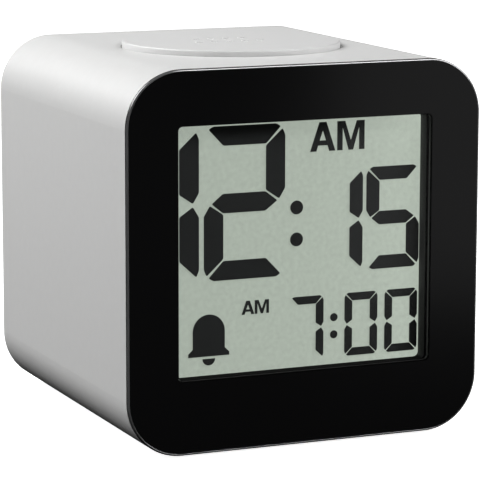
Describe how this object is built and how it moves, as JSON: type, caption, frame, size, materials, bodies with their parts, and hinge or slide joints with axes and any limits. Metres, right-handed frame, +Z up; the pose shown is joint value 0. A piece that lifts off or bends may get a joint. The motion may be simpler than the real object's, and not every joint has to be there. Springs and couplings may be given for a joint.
{
  "type": "digital alarm clock",
  "caption": "Small white cube alarm clock with a black gloss front, a large grey LCD, a round snooze button on top, keys and a battery door at the back.",
  "frame": {"origin": "on the table, under the middle of the clock's box", "axes": "+Z up, the display faces -Y, +X is to the right seen from the front"},
  "size_m": [0.06, 0.06, 0.0616],
  "materials": {
    "white_shell": "satin moulded ABS, finely textured",
    "white_button": "satin moulded ABS",
    "white_key": "satin moulded ABS",
    "black_gloss": "polished black acrylic",
    "clear_lens": "clear polished acrylic",
    "lcd_glass": "clear display glass",
    "lcd_film": "grey-green anti-glare film",
    "led_resin": "clear resin over a yellow phosphor",
    "zebra_rubber": "silicone strip with fine conductive layers",
    "black_frame": "fine moulded texture",
    "board_green": "green solder mask",
    "steel": "zinc plated",
    "nickel": "nickel plated spring strip",
    "blob_resin": "black epoxy",
    "silver_can": "drawn can",
    "capacitor_sleeve": "shrink sleeve",
    "black_plastic": "glass-filled moulding",
    "switch_metal": "tinned",
    "cell_sleeve": "plain sleeve over a metal can",
    "ribbon_grey": "PVC flat cable",
    "wire_red": "PVC",
    "wire_black": "PVC",
    "foot_rubber": "moulded rubber"
  },
  "bodies": {
    "clock": {"case_shell": "white_shell", "back_cover": "white_shell", "button_carrier": "white_button", "front_bezel": "black_gloss", "window_lens": "clear_lens", "backlight_guide": "clear_lens", "lcd_front_glass": "lcd_glass", "lcd_rear_glass": "lcd_glass", "lcd_front_polariser": "lcd_film", "lcd_reflector_film": "lcd_film", "backlight_led": "led_resin", "zebra_strips": "zebra_rubber", "lcd_frame": "black_frame", "main_board": "board_green", "snooze_board": "board_green", "key_board": "board_green", "main_board_screws": "steel", "carrier_screws": "steel", "case_screws": "steel", "key_board_screws": "steel", "button_springs": "steel", "battery_springs": "steel", "contact_bridge": "nickel", "contact_positive": "nickel", "contact_negative": "nickel", "controller_blob": "blob_resin", "clock_crystal": "silver_can", "board_capacitors": "capacitor_sleeve", "snooze_switch": "black_plastic", "key_switches": "black_plastic", "sounder": "black_plastic", "alarm_switch_body": "switch_metal", "battery_upper": "cell_sleeve", "battery_lower": "cell_sleeve", "key_ribbon": "ribbon_grey", "snooze_ribbon": "ribbon_grey", "battery_wire_red": "wire_red", "battery_wire_black": "wire_black", "rubber_feet": "foot_rubber"},
    "snooze": {"snooze_button": "white_button", "snooze_plunger": "black_plastic"},
    "mode": {"mode_key": "white_key", "mode_plunger": "black_plastic"},
    "up": {"up_key": "white_key", "up_plunger": "black_plastic"},
    "down": {"down_key": "white_key", "down_plunger": "black_plastic"},
    "light": {"light_key": "white_key", "light_plunger": "black_plastic"},
    "alarm_slider": {"alarm_switch_knob": "white_key"},
    "door": {"battery_door": "white_shell"}
  },
  "joints": [
    {"name": "snooze_press", "type": "slide", "parent": "clock", "child": "snooze", "axis": [0, 0, -1], "range_m": [0, 0.0005], "stiffness_N_per_m": 2400, "springref_m": -0.0003, "deforming": ["button_springs"]},
    {"name": "mode_press", "type": "slide", "parent": "clock", "child": "mode", "axis": [0, -1, 0], "range_m": [0, 0.0003], "stiffness_N_per_m": 2000, "springref_m": -0.0003},
    {"name": "up_press", "type": "slide", "parent": "clock", "child": "up", "axis": [0, -1, 0], "range_m": [0, 0.0003], "stiffness_N_per_m": 2000, "springref_m": -0.0003},
    {"name": "down_press", "type": "slide", "parent": "clock", "child": "down", "axis": [0, -1, 0], "range_m": [0, 0.0003], "stiffness_N_per_m": 2000, "springref_m": -0.0003},
    {"name": "light_press", "type": "slide", "parent": "clock", "child": "light", "axis": [0, -1, 0], "range_m": [0, 0.0003], "stiffness_N_per_m": 2000, "springref_m": -0.0003},
    {"name": "alarm_slide", "type": "slide", "parent": "clock", "child": "alarm_slider", "axis": [1, 0, 0], "range_m": [0, 0.003]},
    {"name": "battery_door_tip", "type": "hinge", "parent": "clock", "child": "door", "pos_m": [0, 0.0296, 0.0107], "axis": [-1, 0, 0], "range_deg": [0, 65]}
  ]
}
